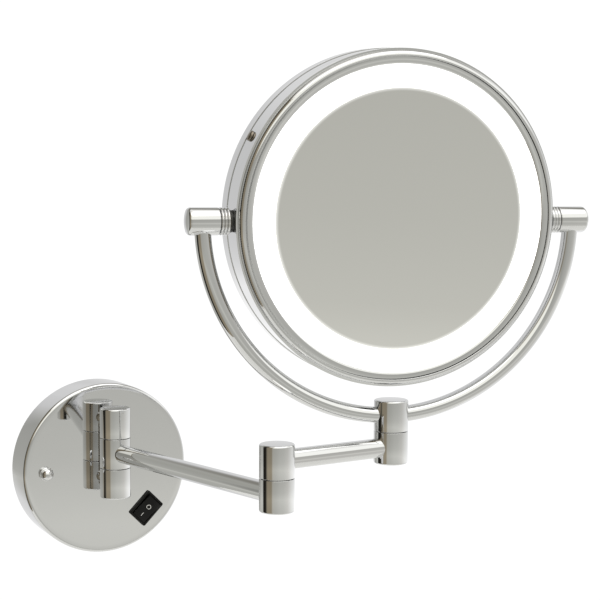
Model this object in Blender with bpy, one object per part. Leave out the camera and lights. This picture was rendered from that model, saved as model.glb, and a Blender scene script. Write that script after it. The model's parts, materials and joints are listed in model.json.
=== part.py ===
"""Wall-mounted, double-arm, lit shaving mirror.

Metres, +Z up, wall at Y = 0, the room on the -Y side. The origin is the centre of
the wall bracket's back face. Every swivelling group hangs from an empty that sits on
its joint's axis, so a group's pieces are placed in that group's own frame.
"""

import math

import bmesh
import bpy
from mathutils import Matrix, Vector

MM = 0.001

# ---- driving dimensions ------------------------------------------------------
GAP = 0.3 * MM                     # clearance between touching pieces

# wall unit
COVER_RADIUS = 63.0 * MM
COVER_DEPTH = 28.0 * MM
COVER_WALL = 1.5 * MM
COVER_EDGE = 2.5 * MM              # rounded front edge
BRACKET_RADIUS = 60.0 * MM
BRACKET_THICK = 3.0 * MM
STUD_SPREAD = 46.5 * MM            # cap nut centres, left and right
STUD_RADIUS = 2.5 * MM
NUT_RADIUS = 4.9 * MM
NUT_HEIGHT = 7.6 * MM
CABLE_HOLE = (22.0 * MM, 34.0 * MM)
CABLE_HOLE_RADIUS = 8.0 * MM
WALL_SLOT_Z = 49.0 * MM
WALL_SLOT = (5.0 * MM, 10.0 * MM)

# swivel barrels
KNUCKLE_REACH = 46.0 * MM          # wall face to the first swivel axis
ARM_LEVEL = 15.0 * MM              # inner arm above the cover's centre
SEGMENT = 22.0 * MM                # height pitch of the stacked barrels
SEAM = 0.4 * MM                    # visible line between stacked barrels
TOP_SEGMENT = 20.6 * MM            # the yoke's own barrel is a little shorter
BARREL_RADIUS = 11.5 * MM
WALL_BARREL_RADIUS = 11.2 * MM
BARREL_EDGE = 1.3 * MM
END_WALL = 2.6 * MM                # closed end of a blind barrel
PIN_RADIUS = 4.0 * MM
PIN_BORE = 2.2 * MM
STUB_RADIUS = 5.0 * MM
WASHER_RADIUS = 8.0 * MM
WASHER_THICK = 0.5 * MM
RECESS = 0.4 * MM                  # washer seat in each barrel face
LEAD_RADIUS = 1.1 * MM

# arms
INNER_ARM = 182.0 * MM
OUTER_ARM = 90.0 * MM
ARM_TUBE_RADIUS = 6.5 * MM
ARM_TUBE_BORE = 5.3 * MM
TUBE_START = 6.4 * MM              # tube end, measured from the barrel's axis
SOCKET_FLOOR = 6.0 * MM
INNER_ARM_TURN = math.radians(-77.0)
ELBOW_TURN = math.radians(82.5)
YOKE_TURN = math.radians(-15.8)

# yoke
YOKE_RADIUS = 129.2 * MM
YOKE_TUBE_RADIUS = 5.5 * MM
YOKE_TUBE_BORE = 4.2 * MM
CAP_RADIUS = 8.95 * MM
CAP_START = 118.9 * MM
CAP_END = 140.7 * MM
CAP_DOME = 3.6 * MM
COLLAR_START = 111.1 * MM
COLLAR_RIBS = 3
SHAFT_RADIUS = 3.6 * MM
SHAFT_BORE = 1.8 * MM
SHAFT_BODY = 5.8 * MM              # where the shaft passes through the drum
NECK_RADIUS = 7.4 * MM             # flange behind the drum's wall
SHAFT_ROOT = 97.0 * MM

# mirror head, measured from the tilt axis: front is -Y, back is +Y
HEAD_RADIUS = 109.0 * MM
DRUM_RADIUS = 110.4 * MM
DRUM_WALL = 1.8 * MM
REAR_RADIUS = 110.8 * MM
HEAD_LEAN = math.radians(3.0)      # the glass faces slightly down at rest
HEAD_RISE = 1.6 * MM               # the head's centre sits this far above its pivots
GLASS_OPENING = 100.0 * MM         # what the bezels leave open
MIRROR_RADIUS = 85.4 * MM
DISC_RADIUS = 103.0 * MM
FRONT_CREST = 16.0 * MM
FRONT_SEAM = 11.5 * MM
REAR_SEAM = 10.5 * MM
REAR_CREST = 24.5 * MM
GLASS_FRONT = 14.2 * MM
GLASS_THICK = 3.0 * MM
REAR_GLASS = 23.0 * MM
REAR_DISH = 2.0 * MM               # depth of the magnifying curve
SCREW_ANGLES = (32.0, 152.0, 272.0)
SCREW_HEAD_RADIUS = 3.5 * MM
SCREW_BACK = 2.5 * MM              # behind the head's middle plane
SLEEVE_WALL = 1.9 * MM             # inner sleeve that the side screws bite into
SLEEVE_TOP = 2.0 * MM
FLANGE_REACH = 8.6 * MM            # where the bezels' inner flanges end
LED_BOARD = (89.0 * MM, 99.0 * MM)

# rocker switch, set at 45 degrees on the cover's front face
SWITCH_CENTRE = (31.0 * MM, -33.0 * MM)
SWITCH_TURN = math.radians(45.0)
SWITCH_FRAME = (22.0 * MM, 16.6 * MM)
SWITCH_BODY = (20.0 * MM, 14.6 * MM)
SWITCH_WELL = (18.8 * MM, 12.6 * MM)
SWITCH_DEPTH = 16.0 * MM
FRAME_LIP = 1.6 * MM
ROCKER_SIZE = (18.0 * MM, 12.0 * MM)
ROCKER_TILT = math.radians(8.0)

# facets
HEAD_SIDES = 48
COVER_SIDES = 40
BARREL_SIDES = 20
TUBE_SIDES = 12
SMALL_SIDES = 8
ARC_STEPS = 2


# ---- materials ---------------------------------------------------------------
FINISHES = {
    "chrome": ((0.78, 0.78, 0.79), 0.06, 1.0),
    "zinc_plate": ((0.62, 0.63, 0.64), 0.35, 1.0),
    "steel": ((0.55, 0.55, 0.56), 0.3, 1.0),
    "brass": ((0.72, 0.55, 0.28), 0.3, 1.0),
    "mirror": ((0.86, 0.87, 0.87), 0.02, 1.0),
    "opal": ((0.95, 0.95, 0.94), 0.45, 0.0),
    "white_plastic": ((0.88, 0.88, 0.86), 0.5, 0.0),
    "black_plastic": ((0.015, 0.015, 0.016), 0.3, 0.0),
    "grey_plastic": ((0.30, 0.31, 0.32), 0.5, 0.0),
    "nylon": ((0.80, 0.78, 0.72), 0.5, 0.0),
    "board": ((0.90, 0.91, 0.89), 0.45, 0.0),
    "black_lead": ((0.03, 0.03, 0.03), 0.5, 0.0),
    "brown_lead": ((0.24, 0.10, 0.04), 0.5, 0.0),
}


def finish(name, piece):
    """Give one piece its own Principled material."""
    colour, roughness, metallic = FINISHES[name]
    material = bpy.data.materials.new(f"{piece}_{name}")
    material.use_nodes = True
    shader = material.node_tree.nodes["Principled BSDF"]
    shader.inputs["Base Color"].default_value = (*colour, 1.0)
    shader.inputs["Roughness"].default_value = roughness
    shader.inputs["Metallic"].default_value = metallic
    material.diffuse_color = (*colour, 1.0)
    return material


# ---- outlines ----------------------------------------------------------------
def arc(centre_r, centre_h, radius, start, end, steps=ARC_STEPS):
    """Points on a round stretch of an outline, angles in degrees from +r to +h."""
    span = [start + (end - start) * step / steps for step in range(steps + 1)]
    return [(centre_r + radius * math.cos(math.radians(a)),
             centre_h + radius * math.sin(math.radians(a))) for a in span]


def rod_outline(radius, low, high):
    return [(0.0, low), (radius, low), (radius, high), (0.0, high)]


def tube_outline(outer, inner, low, high):
    return [(inner, low), (outer, low), (outer, high), (inner, high)]


# ---- shapes ------------------------------------------------------------------
def turned(outline, sides):
    """Solid of revolution about local Z from a closed (radius, height) outline."""
    bm = bmesh.new()
    verts = [bm.verts.new((radius, 0.0, height)) for radius, height in outline]
    edges = [bm.edges.new(pair) for pair in zip(verts, verts[1:])]
    if outline[0][0] > 0.0 or outline[-1][0] > 0.0:
        edges.append(bm.edges.new((verts[-1], verts[0])))
    bmesh.ops.spin(bm, geom=verts + edges, cent=(0, 0, 0), axis=(0, 0, 1),
                   angle=math.tau, steps=sides, use_merge=True)
    bmesh.ops.remove_doubles(bm, verts=bm.verts, dist=1e-6)
    bmesh.ops.recalc_face_normals(bm, faces=bm.faces)
    return bm


def block(size, centre=(0.0, 0.0, 0.0)):
    """Rectangular block of the given size about its centre."""
    bm = bmesh.new()
    bmesh.ops.create_cube(bm, size=1.0)
    bmesh.ops.scale(bm, vec=Vector(size), verts=bm.verts)
    bmesh.ops.translate(bm, vec=Vector(centre), verts=bm.verts)
    return bm


def open_box(outer, inner, lip, lip_height, depth, floor):
    """Rectangular tray along +Z with a wider frame round its mouth."""
    bm = block((outer[0], outer[1], depth), (0.0, 0.0, -depth / 2.0))
    top = max(bm.faces, key=lambda face: face.calc_center_median().z)
    bmesh.ops.translate(bm, vec=(0, 0, -GAP), verts=top.verts)
    frame = bmesh.ops.extrude_face_region(bm, geom=[top])
    ring = [item for item in frame["geom"] if isinstance(item, bmesh.types.BMFace)][0]
    bmesh.ops.delete(bm, geom=[top], context="FACES_ONLY")
    stretch(bm, ring, lip)
    raised = bmesh.ops.extrude_face_region(bm, geom=[ring])
    bmesh.ops.delete(bm, geom=[ring], context="FACES_ONLY")
    ring = [item for item in raised["geom"] if isinstance(item, bmesh.types.BMFace)][0]
    bmesh.ops.translate(bm, vec=(0, 0, lip_height), verts=ring.verts)
    mouth = bmesh.ops.extrude_face_region(bm, geom=[ring])
    bmesh.ops.delete(bm, geom=[ring], context="FACES_ONLY")
    ring = [item for item in mouth["geom"] if isinstance(item, bmesh.types.BMFace)][0]
    stretch(bm, ring, inner)
    well = bmesh.ops.extrude_face_region(bm, geom=[ring])
    bmesh.ops.delete(bm, geom=[ring], context="FACES_ONLY")
    ring = [item for item in well["geom"] if isinstance(item, bmesh.types.BMFace)][0]
    bmesh.ops.translate(bm, vec=(0, 0, floor - lip_height), verts=ring.verts)
    bmesh.ops.recalc_face_normals(bm, faces=bm.faces)
    return bm


def stretch(bm, face, size):
    """Resize one level rectangular face about its own centre."""
    half = Vector((max(v.co.x for v in face.verts), max(v.co.y for v in face.verts), 1.0))
    factor = Vector((size[0] / 2.0 / half.x, size[1] / 2.0 / half.y, 1.0))
    bmesh.ops.scale(bm, vec=factor, verts=face.verts)


def prism(outline, width):
    """Outline in local XZ, extruded along Y and centred on it."""
    bm = bmesh.new()
    verts = [bm.verts.new((x, -width / 2.0, z)) for x, z in outline]
    face = bm.faces.new(verts)
    side = bmesh.ops.extrude_face_region(bm, geom=[face])
    moved = [item for item in side["geom"] if isinstance(item, bmesh.types.BMVert)]
    bmesh.ops.translate(bm, vec=(0, width, 0), verts=moved)
    bmesh.ops.recalc_face_normals(bm, faces=bm.faces)
    return bm


def bent_tube(outer, inner, bend_radius, start, end, sides, steps):
    """Tube swept in the XZ plane about (0, 0, bend_radius), angles from -Z towards +X."""
    bm = bmesh.new()
    loops = []
    for radius in (outer, inner):
        if radius > 0.0:
            ring = bmesh.ops.create_circle(bm, segments=sides, radius=radius)
            loops += ring["verts"]
    if inner > 0.0:
        bmesh.ops.bridge_loops(bm, edges=bm.edges)
    else:
        bm.faces.new(loops)
    bmesh.ops.rotate(bm, verts=bm.verts, matrix=Matrix.Rotation(math.pi / 2.0, 3, "Y"))
    centre = Vector((0.0, 0.0, bend_radius))
    bmesh.ops.rotate(bm, verts=bm.verts, cent=centre, matrix=Matrix.Rotation(-start, 3, "Y"))
    bmesh.ops.spin(bm, geom=bm.verts[:] + bm.edges[:] + bm.faces[:], cent=centre,
                   axis=(0, -1, 0), angle=end - start, steps=steps)
    bmesh.ops.remove_doubles(bm, verts=bm.verts, dist=1e-6)
    bmesh.ops.recalc_face_normals(bm, faces=bm.faces)
    return bm


# ---- objects -----------------------------------------------------------------
# Turns that lay a piece built along +Z onto another direction.
ALONG_Z = Matrix.Identity(4)
ALONG_X = Matrix.Rotation(math.pi / 2.0, 4, "Y")
ALONG_MINUS_X = Matrix.Rotation(-math.pi / 2.0, 4, "Y")
ALONG_FRONT = Matrix.Rotation(math.pi / 2.0, 4, "X")


def add(name, bm, material, parent=None, at=(0, 0, 0), turn=ALONG_Z, smooth=True):
    """Make a named object from a mesh, in its group's frame."""
    mesh = bpy.data.meshes.new(name)
    bm.to_mesh(mesh)
    bm.free()
    if smooth:
        mesh.shade_smooth()
        mesh.set_sharp_from_angle(angle=math.radians(35.0))
    piece = bpy.data.objects.new(name, mesh)
    bpy.context.scene.collection.objects.link(piece)
    if material:
        mesh.materials.append(finish(material, name))
    piece.parent = parent
    piece.matrix_local = Matrix.Translation(Vector(at)) @ turn
    return piece


def tool(name, bm, parent=None, at=(0, 0, 0), turn=ALONG_Z):
    """A hidden shape that cuts or joins another piece."""
    shape = add(name, bm, None, parent, at, turn, smooth=False)
    shape.hide_render = True
    shape.display_type = "WIRE"
    return shape


def combine(piece, shape, operation):
    modifier = piece.modifiers.new(shape.name, "BOOLEAN")
    modifier.operation = operation
    modifier.solver = "EXACT"
    modifier.object = shape


def axis_empty(name, parent, at, turn):
    """An empty on a joint's axis that carries one moving group."""
    empty = bpy.data.objects.new(name, None)
    bpy.context.scene.collection.objects.link(empty)
    empty.parent = parent
    empty.matrix_local = Matrix.Translation(Vector(at)) @ Matrix.Rotation(turn, 4, "Z")
    return empty


def wire(name, points, material, parent=None, radius=LEAD_RADIUS):
    """A round lead through the given points."""
    curve = bpy.data.curves.new(name, "CURVE")
    curve.dimensions = "3D"
    spline = curve.splines.new("POLY")
    spline.points.add(len(points) - 1)
    for point, place in zip(spline.points, points):
        point.co = (*place, 1.0)
    curve.bevel_depth = radius
    curve.bevel_resolution = 1
    curve.use_fill_caps = True
    curve.materials.append(finish(material, name))
    lead = bpy.data.objects.new(name, curve)
    bpy.context.scene.collection.objects.link(lead)
    lead.parent = parent
    return lead


def swept(points, steps=4):
    """Smooth route through a few points, as short steps of a Catmull-Rom curve."""
    knots = [Vector(point) for point in points]
    knots = [2 * knots[0] - knots[1]] + knots + [2 * knots[-1] - knots[-2]]
    route = []
    for a, b, c, d in zip(knots, knots[1:], knots[2:], knots[3:]):
        for step in range(steps):
            t = step / steps
            route.append(0.5 * ((2 * b) + (c - a) * t + (2 * a - 5 * b + 4 * c - d) * t ** 2
                                + (3 * b - a - 3 * c + d) * t ** 3))
    return route + [knots[-2]]


# ---- barrels and tubes -------------------------------------------------------
def barrel_outline(radius, low, high, closed_low=False, closed_high=False):
    """Half section of one stacked barrel, with washer seats on its open faces."""
    bore = PIN_RADIUS + GAP
    seat = WASHER_RADIUS + GAP
    edge_low = BARREL_EDGE if closed_low else 0.3 * MM
    edge_high = BARREL_EDGE if closed_high else 0.3 * MM
    outer = arc(radius - edge_low, low + edge_low, edge_low, -90, 0, 2 if closed_low else 1)
    outer += arc(radius - edge_high, high - edge_high, edge_high, 0, 90, 2 if closed_high else 1)
    if closed_high:
        inner_top = [(0.0, high), (0.0, high - END_WALL), (bore, high - END_WALL)]
    else:
        inner_top = [(seat, high), (seat, high - RECESS), (bore, high - RECESS)]
    if closed_low:
        inner_low = [(bore, low + END_WALL), (0.0, low + END_WALL), (0.0, low)]
    else:
        inner_low = [(bore, low + RECESS), (seat, low + RECESS), (seat, low)]
    return inner_low, outer, inner_top


def barrel(radius, low, high, closed_low=False, closed_high=False):
    inner_low, outer, inner_top = barrel_outline(radius, low, high, closed_low, closed_high)
    if closed_high:
        # starts at the blind bore's end and finishes on the closed face
        outline = inner_top[1:] + inner_low + outer + inner_top[:1]
        return turned(outline, BARREL_SIDES)
    if closed_low:
        outline = inner_low[2:] + outer + inner_top + inner_low[:2]
        return turned(outline, BARREL_SIDES)
    return turned(inner_low + outer + inner_top, BARREL_SIDES)


def socket_cutter(name, parent, at, radius, reach, turn=ALONG_X):
    """Side socket for a tube, with a lead hole on to the barrel's bore."""
    outline = [(0.0, PIN_RADIUS - 0.5 * MM), (1.7 * MM, PIN_RADIUS - 0.5 * MM),
               (1.7 * MM, SOCKET_FLOOR), (radius + GAP, SOCKET_FLOOR),
               (radius + GAP, reach), (0.0, reach)]
    return tool(name, turned(outline, TUBE_SIDES), parent, at, turn)


def swivel_pin(name, parent, at, low, high):
    outline = tube_outline(PIN_RADIUS, PIN_BORE, low, high)
    return add(name, turned(outline, SMALL_SIDES + 4), "steel", parent, at)


def washer(name, parent, at):
    half = WASHER_THICK / 2.0
    outline = tube_outline(WASHER_RADIUS, PIN_RADIUS + GAP, -half, half)
    return add(name, turned(outline, TUBE_SIDES), "nylon", parent, at)


HALF = SEGMENT / 2.0 - SEAM / 2.0      # half height of one barrel


# ---- wall unit ---------------------------------------------------------------
def wall_bracket():
    outline = [(0.0, 0.0), (BRACKET_RADIUS, 0.0), (BRACKET_RADIUS, 8.0 * MM),
               (BRACKET_RADIUS - 2.0 * MM, 8.0 * MM),
               (BRACKET_RADIUS - 2.0 * MM, BRACKET_THICK), (0.0, BRACKET_THICK)]
    bracket = add("wall_bracket", turned(outline, COVER_SIDES), "zinc_plate",
                  turn=ALONG_FRONT)
    hole = turned(rod_outline(CABLE_HOLE_RADIUS, -5.0 * MM, 5.0 * MM), TUBE_SIDES)
    combine(bracket, tool("cable_hole_cutter", hole, at=(CABLE_HOLE[0], 0, CABLE_HOLE[1]),
                          turn=ALONG_FRONT), "DIFFERENCE")
    for side, level in (("upper", WALL_SLOT_Z), ("lower", -WALL_SLOT_Z)):
        slot = block((WALL_SLOT[0], 10.0 * MM, WALL_SLOT[1]))
        combine(bracket, tool(f"{side}_slot_cutter", slot, at=(0, 0, level)), "DIFFERENCE")


def wall_cover():
    inner = COVER_RADIUS - COVER_WALL
    floor = COVER_DEPTH - COVER_WALL
    outline = [(0.0, floor)]
    outline += arc(inner - 1.0 * MM, floor - 1.0 * MM, 1.0 * MM, 90, 0, 2)
    outline += [(inner, 0.5 * MM), (COVER_RADIUS, 0.5 * MM)]
    outline += arc(COVER_RADIUS - COVER_EDGE, COVER_DEPTH - COVER_EDGE, COVER_EDGE, 0, 90)
    outline += [(0.0, COVER_DEPTH)]
    cover = add("wall_cover", turned(outline, COVER_SIDES), "chrome", turn=ALONG_FRONT)
    front = -COVER_DEPTH
    for name, radius, x, z in (
            ("upper_stub", STUB_RADIUS + GAP, 0.0, ARM_LEVEL + SEGMENT),
            ("lower_stub", STUB_RADIUS + GAP, 0.0, ARM_LEVEL - SEGMENT),
            ("left_stud", STUD_RADIUS + GAP, -STUD_SPREAD, 0.0),
            ("right_stud", STUD_RADIUS + GAP, STUD_SPREAD, 0.0)):
        hole = turned(rod_outline(radius, -6.0 * MM, 6.0 * MM), TUBE_SIDES)
        combine(cover, tool(f"{name}_hole_cutter", hole, at=(x, front, z),
                            turn=ALONG_FRONT), "DIFFERENCE")
    window = block((SWITCH_BODY[0] + 2 * GAP, SWITCH_BODY[1] + 2 * GAP, 12.0 * MM))
    combine(cover, tool("switch_window_cutter", window,
                        at=(SWITCH_CENTRE[0], front, SWITCH_CENTRE[1]),
                        turn=SWITCH_FACE), "DIFFERENCE")


def cover_fixings():
    """Two studs on the bracket and the domed nuts that hold the cover on them."""
    for side, x in (("left", -STUD_SPREAD), ("right", STUD_SPREAD)):
        stud = rod_outline(STUD_RADIUS, BRACKET_THICK + GAP, COVER_DEPTH + 4.0 * MM)
        add(f"cover_stud_{side}", turned(stud, SMALL_SIDES), "steel", at=(x, 0, 0),
            turn=ALONG_FRONT)
        low = COVER_DEPTH + GAP
        shoulder = low + 2.6 * MM
        dome = arc(0.0, shoulder, 1.0, 0, 90)
        dome = [(NUT_RADIUS * r, shoulder + (h - shoulder) * (NUT_HEIGHT - 2.6 * MM))
                for r, h in dome]
        bore = STUD_RADIUS + GAP
        outline = [(0.0, low + 4.6 * MM), (bore, low + 4.6 * MM), (bore, low),
                   (NUT_RADIUS, low)] + dome[:-1] + [(0.0, low + NUT_HEIGHT)]
        add(f"cap_nut_{side}", turned(outline, TUBE_SIDES), "chrome", at=(x, 0, 0),
            turn=ALONG_FRONT)


def wall_knuckles():
    """The two fixed barrels, each on its stub from the bracket."""
    axis = (0.0, -KNUCKLE_REACH, 0.0)
    for name, level, closed_low, closed_high in (
            ("upper", ARM_LEVEL + SEGMENT, False, True),
            ("lower", ARM_LEVEL - SEGMENT, True, False)):
        shape = barrel(WALL_BARREL_RADIUS, level - HALF, level + HALF, closed_low, closed_high)
        knuckle = add(f"wall_knuckle_{name}", shape, "chrome", at=axis)
        length = KNUCKLE_REACH - PIN_RADIUS - 3.0 * MM
        stub = turned(rod_outline(STUB_RADIUS, BRACKET_THICK + GAP, length), TUBE_SIDES)
        combine(knuckle, tool(f"{name}_stub_shape", stub, at=(0, 0, level),
                              turn=ALONG_FRONT), "UNION")
        lead_way = turned(rod_outline(2.0 * MM, 0.0, KNUCKLE_REACH - 1.0 * MM), SMALL_SIDES)
        combine(knuckle, tool(f"{name}_stub_bore_cutter", lead_way, at=(0, 0, level),
                              turn=ALONG_FRONT), "DIFFERENCE")
    reach = SEGMENT * 1.5 - SEAM - END_WALL - 1.0 * MM
    swivel_pin("wall_hinge_pin", None, (0.0, -KNUCKLE_REACH, ARM_LEVEL), -reach, reach)
    washer("wall_washer_upper", None, (0, -KNUCKLE_REACH, ARM_LEVEL + SEGMENT / 2.0))
    washer("wall_washer_lower", None, (0, -KNUCKLE_REACH, ARM_LEVEL - SEGMENT / 2.0))


# The switch is built with its long side on local X and its face on local +Z.
SWITCH_FACE = Matrix.Rotation(math.pi / 2.0, 4, "X") @ Matrix.Rotation(SWITCH_TURN, 4, "Z")


def switch_place(x, y, z):
    """A point in the switch's own frame, as a place in the room."""
    local = SWITCH_FACE @ Vector((x, y, z))
    return Vector((SWITCH_CENTRE[0], -COVER_DEPTH, SWITCH_CENTRE[1])) + local


def rocker_switch():
    face = (SWITCH_CENTRE[0], -COVER_DEPTH - GAP, SWITCH_CENTRE[1])
    housing = open_box(SWITCH_BODY, SWITCH_WELL, SWITCH_FRAME, FRAME_LIP, SWITCH_DEPTH,
                       -8.0 * MM)
    bmesh.ops.translate(housing, vec=(0, 0, GAP), verts=housing.verts)
    add("switch_housing", housing, "black_plastic", at=face, turn=SWITCH_FACE, smooth=False)

    half = ROCKER_SIZE[0] / 2.0
    outline = [(-half, -1.0 * MM), (-half, 3.4 * MM), (0.0, 2.4 * MM), (half, 3.4 * MM),
               (half, -1.0 * MM), (half - 4.0 * MM, -3.6 * MM), (4.0 * MM - half, -3.6 * MM)]
    rocker = prism(outline, ROCKER_SIZE[1])
    rest = Matrix.Rotation(-ROCKER_TILT, 4, "Y")
    add("switch_rocker", rocker, "black_plastic", at=face, turn=SWITCH_FACE @ rest,
        smooth=False)
    for name, x in (("line", 5.0 * MM), ("load", -5.0 * MM)):
        blade = block((0.8 * MM, 6.3 * MM, 6.0 * MM), (x, 0, -SWITCH_DEPTH - 3.3 * MM))
        add(f"switch_blade_{name}", blade, "brass", at=face, turn=SWITCH_FACE, smooth=False)


def electrics():
    """Driver, terminal block and the short leads behind the cover."""
    depth = 14.0 * MM
    driver = block((26.0 * MM, depth, 54.0 * MM), (-25.0 * MM, -11.0 * MM, -15.0 * MM))
    bmesh.ops.bevel(driver, geom=driver.edges[:], offset=1.2 * MM, segments=1, affect="EDGES",
                    profile=0.5, material=-1)
    add("led_driver", driver, "white_plastic", smooth=False)
    terminals = block((24.0 * MM, 13.0 * MM, 16.0 * MM), (24.0 * MM, -10.2 * MM, 13.0 * MM))
    add("terminal_block", terminals, "grey_plastic", smooth=False)

    back = -SWITCH_DEPTH - 6.9 * MM
    line = switch_place(5.0 * MM, 0.0, back)
    load = switch_place(-5.0 * MM, 0.0, back)
    wire("lead_to_switch", swept([
        (30.0 * MM, -10.0 * MM, 4.3 * MM), (30.0 * MM, -7.5 * MM, -6.0 * MM),
        (36.0 * MM, -4.9 * MM, -20.0 * MM), line + Vector((1.6 * MM, 0.1 * MM, 2.0 * MM))]),
        "brown_lead")
    wire("lead_to_driver", swept([
        load + Vector((-2.4 * MM, 0.1 * MM, 0.0)), (16.0 * MM, -5.2 * MM, -36.0 * MM),
        (2.0 * MM, -8.0 * MM, -30.0 * MM), (-11.2 * MM, -10.0 * MM, -28.0 * MM)]),
        "brown_lead")
    wire("lead_to_arm", swept([
        (-11.2 * MM, -12.0 * MM, -18.0 * MM), (-6.0 * MM, -12.0 * MM, -20.0 * MM),
        (2.0 * MM, -9.0 * MM, -24.0 * MM), (9.0 * MM, -6.0 * MM, -18.0 * MM)]),
        "black_lead")


# ---- inner arm ---------------------------------------------------------------
def arm_tube(name, parent, length):
    outline = tube_outline(ARM_TUBE_RADIUS, ARM_TUBE_BORE, TUBE_START, length - TUBE_START)
    return add(name, turned(outline, TUBE_SIDES + 4), "chrome", parent, turn=ALONG_X)


def inner_arm(parent):
    wall_end = add("wall_swivel_barrel", barrel(WALL_BARREL_RADIUS, -HALF, HALF), "chrome",
                   parent)
    combine(wall_end, socket_cutter("wall_end_socket_cutter", parent, (0, 0, 0),
                                    ARM_TUBE_RADIUS, 20.0 * MM), "DIFFERENCE")
    arm_tube("inner_arm_tube", parent, INNER_ARM)
    elbow = (INNER_ARM, 0.0, 0.0)
    lower = add("elbow_barrel_lower", barrel(BARREL_RADIUS, -HALF, HALF, closed_low=True),
                "chrome", parent, elbow)
    combine(lower, socket_cutter("elbow_lower_socket_cutter", parent, elbow,
                                 ARM_TUBE_RADIUS, 20.0 * MM, ALONG_MINUS_X), "DIFFERENCE")
    reach = SEGMENT - SEAM - END_WALL - 1.0 * MM
    swivel_pin("elbow_pin", parent, (INNER_ARM, 0, SEGMENT / 2.0), -reach, reach)
    washer("elbow_washer", parent, (INNER_ARM, 0, SEGMENT / 2.0))
    wire("inner_arm_lead", [(8.0 * MM, 0, 0), (INNER_ARM - 8.0 * MM, 0, 0)],
         "black_lead", parent, 1.6 * MM)


# ---- outer arm ---------------------------------------------------------------
def outer_arm(parent):
    upper = add("elbow_barrel_upper", barrel(BARREL_RADIUS, -HALF, HALF, closed_high=True),
                "chrome", parent)
    combine(upper, socket_cutter("elbow_upper_socket_cutter", parent, (0, 0, 0),
                                 ARM_TUBE_RADIUS, 20.0 * MM), "DIFFERENCE")
    arm_tube("outer_arm_tube", parent, OUTER_ARM)
    far = (OUTER_ARM, 0.0, 0.0)
    lower = add("yoke_barrel_lower", barrel(BARREL_RADIUS, -HALF, HALF, closed_low=True),
                "chrome", parent, far)
    combine(lower, socket_cutter("yoke_lower_socket_cutter", parent, far,
                                 ARM_TUBE_RADIUS, 20.0 * MM, ALONG_MINUS_X), "DIFFERENCE")
    reach = SEGMENT - SEAM - END_WALL - 2.2 * MM
    swivel_pin("yoke_pin", parent, (OUTER_ARM, 0, SEGMENT / 2.0), -reach, reach)
    washer("yoke_washer", parent, (OUTER_ARM, 0, SEGMENT / 2.0))
    wire("outer_arm_lead", [(8.0 * MM, 0, 0), (OUTER_ARM - 8.0 * MM, 0, 0)],
         "black_lead", parent, 1.6 * MM)


# ---- yoke --------------------------------------------------------------------
def pivot_cap(side, turn, parent):
    """Domed end of the yoke that the mirror's shaft turns in."""
    bore = SHAFT_RADIUS + 0.4 * MM
    depth = CAP_START + 13.5 * MM
    dome_start = CAP_END - CAP_DOME
    edge = 0.6 * MM
    dome = [((CAP_RADIUS - 2.2 * MM) + 2.2 * MM * math.cos(math.radians(a)),
             dome_start + CAP_DOME * math.sin(math.radians(a))) for a in (0, 22, 45, 67)]
    outline = [(0.0, depth), (bore, depth), (bore, CAP_START)]
    outline += arc(CAP_RADIUS - edge, CAP_START + edge, edge, -90, 0, 2)
    outline += dome + [(CAP_RADIUS - 3.4 * MM, CAP_END - 0.15 * MM), (0.0, CAP_END)]
    at = (0, 0, YOKE_RADIUS)
    cap = add(f"pivot_cap_{side}", turned(outline, BARREL_SIDES), "chrome", parent, at, turn)
    sign = 1.0 if side == "right" else -1.0
    socket = YOKE_TUBE_RADIUS + 0.7 * MM
    hole = turned([(0.0, -20.0 * MM), (socket, -20.0 * MM), (socket, -5.4 * MM), (1.6 * MM, -5.4 * MM),
                   (1.6 * MM, -3.0 * MM), (0.0, -3.0 * MM)], TUBE_SIDES)
    cutter = tool(f"{side}_cap_socket_cutter", hole, parent,
                  (sign * YOKE_RADIUS, 0, YOKE_RADIUS))
    combine(cap, cutter, "DIFFERENCE")


def pivot_collar(side, turn, parent):
    """Ribbed friction collar between the cap and the mirror's neck."""
    low = COLLAR_START
    high = CAP_START - GAP
    pitch = (high - low) / COLLAR_RIBS
    bore = SHAFT_RADIUS + 0.4 * MM
    outline = [(bore, low)]
    for rib in range(COLLAR_RIBS):
        middle = low + (rib + 0.5) * pitch
        outline += [(CAP_RADIUS - pitch / 2.0 + pitch / 2.0 * math.cos(math.radians(a)),
                     middle + pitch / 2.0 * math.sin(math.radians(a)))
                    for a in (-70, 0, 70)]
    outline += [(bore, high)]
    add(f"pivot_collar_{side}", turned(outline, BARREL_SIDES), "chrome", parent,
        (0, 0, YOKE_RADIUS), turn)


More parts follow.
